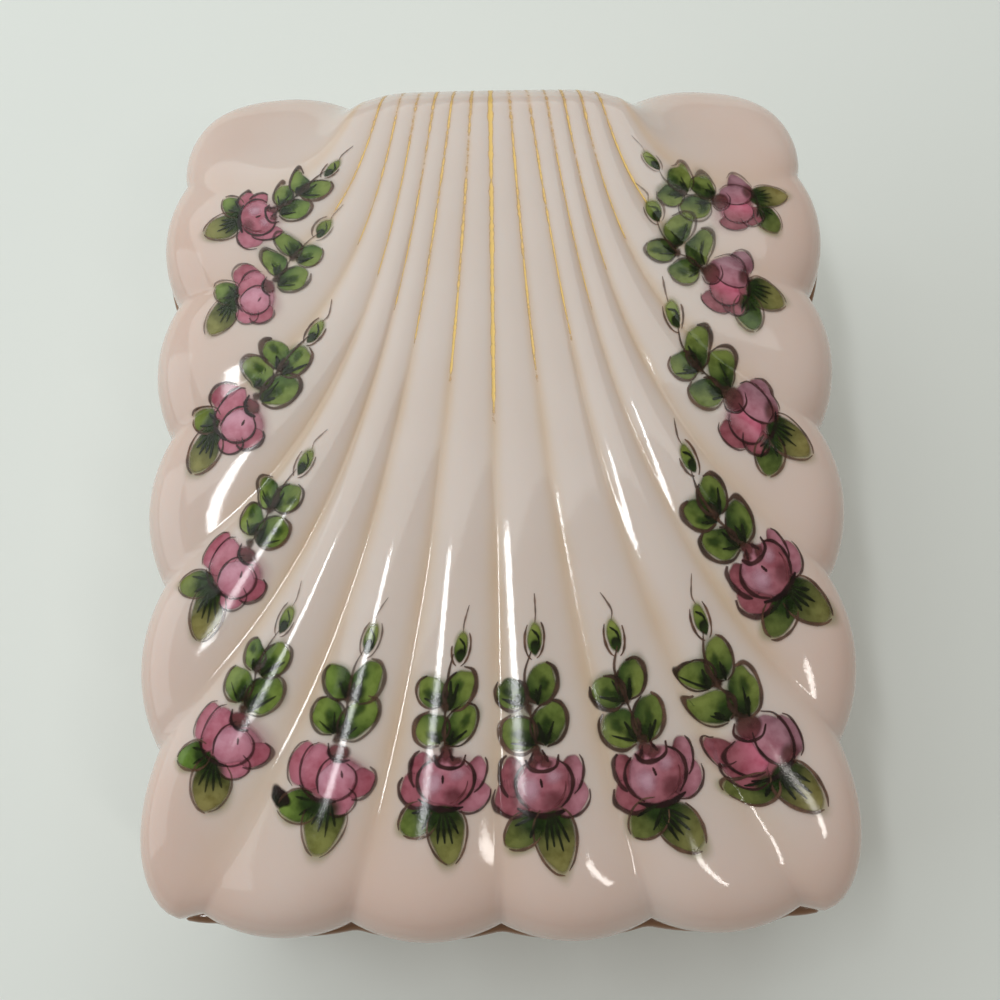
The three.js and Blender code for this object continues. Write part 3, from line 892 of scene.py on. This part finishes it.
def draw_cleft_rose(spray):
    """Rose split by a curved line into a tall petal and a round one, nested petals on one side and curled
    ones with heavier edges on the other."""
    petal(spray, (2.9, 2.6), (1.9, 1.9), 30, PETAL_PINK, PETAL_ROSE, 180, (140, -60), 0.45)
    petal(spray, (0.4, 3.9), (2.1, 1.7), 0, PETAL_ROSE, PETAL_SHADE, -90, (170, -10), 0.75)
    petal(spray, (0.2, -4.1), (3.1, 1.9), 0, PETAL_ROSE, PETAL_PINK, 90, (-165, -5), 0.45)
    petal(spray, (-0.2, -2.4), (3.3, 2.0), 8, PETAL_PINK, PETAL_ROSE, 40, (-170, 10), 0.45, GLOBE_LIFT)
    petal(spray, (0.6, 0.9), (2.7, 2.6), 0, PETAL_PALE, PETAL_PINK, 60, (170, -10), 0.5, FOLD_LIFT)
    brush_line(spray, [(-2.6, -0.4), (-0.8, -1.5), (1.2, -1.5), (2.9, -0.6)], 0.5, ROSE_LINE)
    brush_line(spray, [(3.0, -3.4), (3.7, -1.4), (3.6, 0.6), (3.2, 2.0)], 0.75, ROSE_LINE * 0.6)
    throat = dict(soft=0.35, cover=0.9)
    wash(rose_coat, spray, (-2.9, -0.2), (1.3, 1.7), 20, THROAT_LIFT, PETAL_SHADE, THROAT_BROWN, **throat)
    brush_line(spray, [(-3.6, -1.9), (-2.3, -1.2), (-1.8, 0.2), (-2.4, 1.6)], 0.75, ROSE_DARK)
    tick(spray, (-0.5, 1.2), 0.9, 0.5)


def draw_folded_rose(spray):
    """Rose with a large greyer petal folded over one side, a bright petal showing under it, thin nested
    petals on the other side and a brown throat."""
    petal(spray, (2.6, -2.4), (2.1, 2.0), -20, PETAL_ROSE, PETAL_SHADE, 180, (-140, 60), 0.5)
    petal(spray, (-0.2, -4.0), (2.6, 1.5), 0, PETAL_ROSE, PETAL_SHADE, 90, (-170, -10), 0.4)
    petal(spray, (0.8, 3.8), (3.0, 1.7), 0, PETAL_MAUVE, PETAL_SHADE, -90, (160, 0), 0.45)
    petal(spray, (0.4, -1.7), (2.8, 2.3), 0, PETAL_BRIGHT, PETAL_ROSE, -100, (-160, 20), 0.45, GLOBE_LIFT)
    petal(spray, (-0.3, 1.7), (3.7, 2.4), 10, PETAL_MAUVE, PETAL_PINK, -70, (160, -30), 0.5, FOLD_LIFT)
    brush_line(spray, [(-2.4, -0.3), (-0.4, -0.5), (1.6, 0.0), (3.0, 0.9)], 0.45, ROSE_LINE)
    shadow = dict(soft=0.7, cover=0.7)
    wash(rose_coat, spray, (2.6, 2.6), (1.7, 1.9), 0, THROAT_LIFT, THROAT_BROWN, PETAL_SHADE, **shadow)
    brush_line(spray, [(3.6, -2.6), (4.1, -0.6), (3.9, 1.4), (3.2, 3.2)], 0.8, ROSE_DARK)
    throat = dict(soft=0.3, cover=0.9)
    wash(rose_coat, spray, (-3.2, -0.4), (1.8, 1.9), 0, THROAT_LIFT, THROAT_BROWN, PETAL_SHADE, **throat)
    brush_line(spray, [(-4.4, -1.8), (-3.0, -2.3), (-1.6, -1.2), (-1.4, 0.6), (-2.4, 1.7)], 0.5, ROSE_LINE)


def draw_stem(spray):
    """Brown stem from the throat of the rose to the bud, with small knots where the leaves join it."""
    bends = ((-4.6, -0.8), (-7.4, -1.1), (-10.0, -1.8), (-14.0, -2.2), (-17.0, -1.5))
    bends = [spray.near(bend, 0.25) for bend in bends]
    brush_line(spray, bends, 0.45, STEM_BROWN, 0.85)
    knot = dict(soft=0.6, cover=0.8, ragged=0.1)
    for at in (bends[0], bends[2]):
        wash(leaf_coat, spray, at, (0.9, 0.8), 0, KNOT_LIFT, STEM_BROWN, STEM_BROWN, **knot)


def draw_spray(rib, kind, from_rim, shift, lean, size, weight, rng):
    """One spray, drawn from its lower leaves and the leaves on its stem to its bud and its rose."""
    spray = Spray(rib, from_rim, shift, lean, size, weight, rng)
    to_front = -spray.side * 14 * smooth_step(abs(rib), 1.5, 3.5)
    tone = rng.uniform(0.2, 0.8)
    draw_rose_leaf(spray, (5.3, -2.8), (2.9, 2.2), to_front - 48, rng.uniform(0, 0.5), 2)
    draw_rose_leaf(spray, (6.8, 1.5), (3.9, 2.7), to_front + 22, rng.uniform(0.5, 1), 4)
    if rib == DROP_RIB:
        drop = dict(soft=0.3, cover=1, ragged=0.15)
        wash(leaf_coat, spray, (5.8, -5.2), (1.5, 1.6), 0, DROP_LIFT, ROSE_DARK, LEAF_VEIN, **drop)
    draw_stem(spray)
    spread = rng.uniform(0, 25)
    draw_leaf(spray, (-6.9, -3.1), (2.5, 2.4), 205 + spread, 1, tone)
    draw_leaf(spray, (-7.6, 0.9), (2.9, 2.3), 168, -1, tone * rng.uniform(0.3, 1))
    draw_leaf(spray, (-11.6, -3.6), (2.3, 2.1), 205 + spread, 1, tone * rng.uniform(0.3, 1))
    draw_leaf(spray, (-12.7, -0.3), (2.7, 2.1), 168, -1, tone)
    draw_bud(spray, (-18.4, -1.2))
    body = spray.near((0.2, 0), 0.3)
    halo = dict(soft=0.5, cover=0.35)
    wash(rose_coat, spray, spray.near(body, 0.6), (5.0, 6.2), 0, HALO_LIFT, PETAL_PINK, PETAL_PINK, **halo)
    ground = dict(soft=0.25, cover=0.9)
    wash(rose_coat, spray, body, (3.6, 4.9), 0, GROUND_LIFT, PETAL_PINK, PETAL_ROSE, **ground)
    {"globe": draw_globe_rose, "cleft": draw_cleft_rose, "folded": draw_folded_rose}[kind](spray)


MOTTLE_SIZE = 1.4
MOTTLE_GAMMA = 1.5
MOTTLE_COVER = 0.7  # how strong the mottles are at most
GRAIN_SIZE = 0.25
GRAIN_RELIEF = 0.004
ENAMEL_ROUGHNESS = 0.08
LINE_ROUGHNESS = 0.1
ENAMEL_GLOSS = 0.35


def enamel(name, roughness):
    """Fired enamel: the paint attribute with darker mottles, see-through by the cover attribute, glossy with
    a slight grain from the brush."""
    material, nodes, shader, link = new_material(name)
    paint = attribute_node(nodes, "paint").outputs["Color"]
    deep = nodes.new("ShaderNodeGamma")
    deep.inputs["Gamma"].default_value = MOTTLE_GAMMA
    link(paint, deep.inputs["Color"])
    mottle = noise_node(nodes, link, MOTTLE_SIZE, 3).outputs["Fac"]
    mottle = range_node(nodes, link, mottle, 0.4, 0.7, 0, MOTTLE_COVER)
    link(mix_node(nodes, link, mottle, paint, deep.outputs["Color"]), shader.inputs["Base Color"])
    link(attribute_node(nodes, "cover").outputs["Fac"], shader.inputs["Alpha"])
    grain = noise_node(nodes, link, GRAIN_SIZE, 2).outputs["Fac"]
    link(bump_node(nodes, link, grain, GRAIN_RELIEF, 1.0), shader.inputs["Normal"])
    shader.inputs["Roughness"].default_value = roughness
    shader.inputs["Specular IOR Level"].default_value = ENAMEL_GLOSS
    return material


leaf_coat, rose_coat, line_coat = Coat(), Coat(), Coat()
rng = np.random.default_rng(SPRAY_SEED)
for row in SPRAYS:
    draw_spray(*row, rng)
leaf_coat.piece("leaf_paint", enamel("leaf_enamel", ENAMEL_ROUGHNESS))
rose_coat.piece("rose_paint", enamel("rose_enamel", ENAMEL_ROUGHNESS))
line_coat.piece("brush_lines", enamel("outline_enamel", LINE_ROUGHNESS))


# Floor, light and camera
# A plain pale table top. Two long lamps above, on the left and in front on the right, give the highlights,
# and two large soft panels, behind and on the left, most of the light. The camera looks down steeply from the
# front.
FLOOR_HALF = 1.5
FLOOR_PALE = paint_colour(226, 230, 226)
FLOOR_ROUGHNESS = 0.6
floor_mesh = bpy.data.meshes.new("floor")
corners = [(x * FLOOR_HALF, y * FLOOR_HALF, 0) for x, y in ((-1, -1), (1, -1), (1, 1), (-1, 1))]
floor_mesh.from_pydata(corners, [], [(0, 1, 2, 3)])
floor_material, _, floor_shader, _ = new_material("pale_table")
floor_shader.inputs["Base Color"].default_value = (*FLOOR_PALE, 1)
floor_shader.inputs["Roughness"].default_value = FLOOR_ROUGHNESS
floor_mesh.materials.append(floor_material)
floor = bpy.data.objects.new("floor", floor_mesh)
bpy.context.scene.collection.objects.link(floor)


def add_lamp(name, towards, distance, size, watts, colour):
    """Rectangular lamp seen from the lid in the given direction and at the given distance, facing it."""
    light = bpy.data.lights.new(name, "AREA")
    light.shape = "RECTANGLE"
    light.size, light.size_y = size
    light.energy = watts
    light.color = colour
    lamp = bpy.data.objects.new(name, light)
    direction = np.array(towards) / np.linalg.norm(towards)
    lamp.location = direction * distance + (0, 0, LID_Z * MM)
    lamp.rotation_mode = "QUATERNION"
    lamp.rotation_quaternion = lamp.location.to_track_quat("Z", "Y")
    bpy.context.scene.collection.objects.link(lamp)


add_lamp("key", (-0.27, -0.02, 0.96), 1.0, (0.38, 0.06), 1.5, (0.97, 0.99, 1.0))
add_lamp("front", (0.36, -0.34, 0.88), 1.0, (0.045, 0.26), 0.55, (1.0, 0.95, 0.9))
add_lamp("panel", (-0.17, 0.6, 0.77), 0.65, (0.8, 0.7), 2.4, (0.94, 1.0, 0.99))
add_lamp("side", (-0.9, 0.0, 0.45), 0.7, (0.6, 0.6), 1.4, (0.88, 0.97, 1.0))

ROOM_COLOUR = (1.0, 0.93, 0.84)
ROOM_STRENGTH = 0.27
world = bpy.data.worlds.new("room")
world.use_nodes = True
room_light = world.node_tree.nodes["Background"]
room_light.inputs["Color"].default_value = (*ROOM_COLOUR, 1)
room_light.inputs["Strength"].default_value = ROOM_STRENGTH
bpy.context.scene.world = world
bpy.context.scene.view_settings.view_transform = "Standard"

CAMERA_PLACE = (2.41, -50.58, 226.49)
CAMERA_TILT = 14.5  # away from straight down, towards the back
CAMERA_SWING = 0.56
CAMERA_ROLL = -0.9
FOCAL_PART = 1.4  # focal length over picture width
lens = bpy.data.cameras.new("camera")
lens.sensor_width = 36.0
lens.lens = FOCAL_PART * lens.sensor_width
lens.clip_start = 0.01
camera = bpy.data.objects.new("camera", lens)
camera.location = np.array(CAMERA_PLACE) * MM
camera.rotation_mode = "ZYX"
camera.rotation_euler = np.radians((CAMERA_TILT, CAMERA_SWING, CAMERA_ROLL))
bpy.context.scene.collection.objects.link(camera)
bpy.context.scene.camera = camera
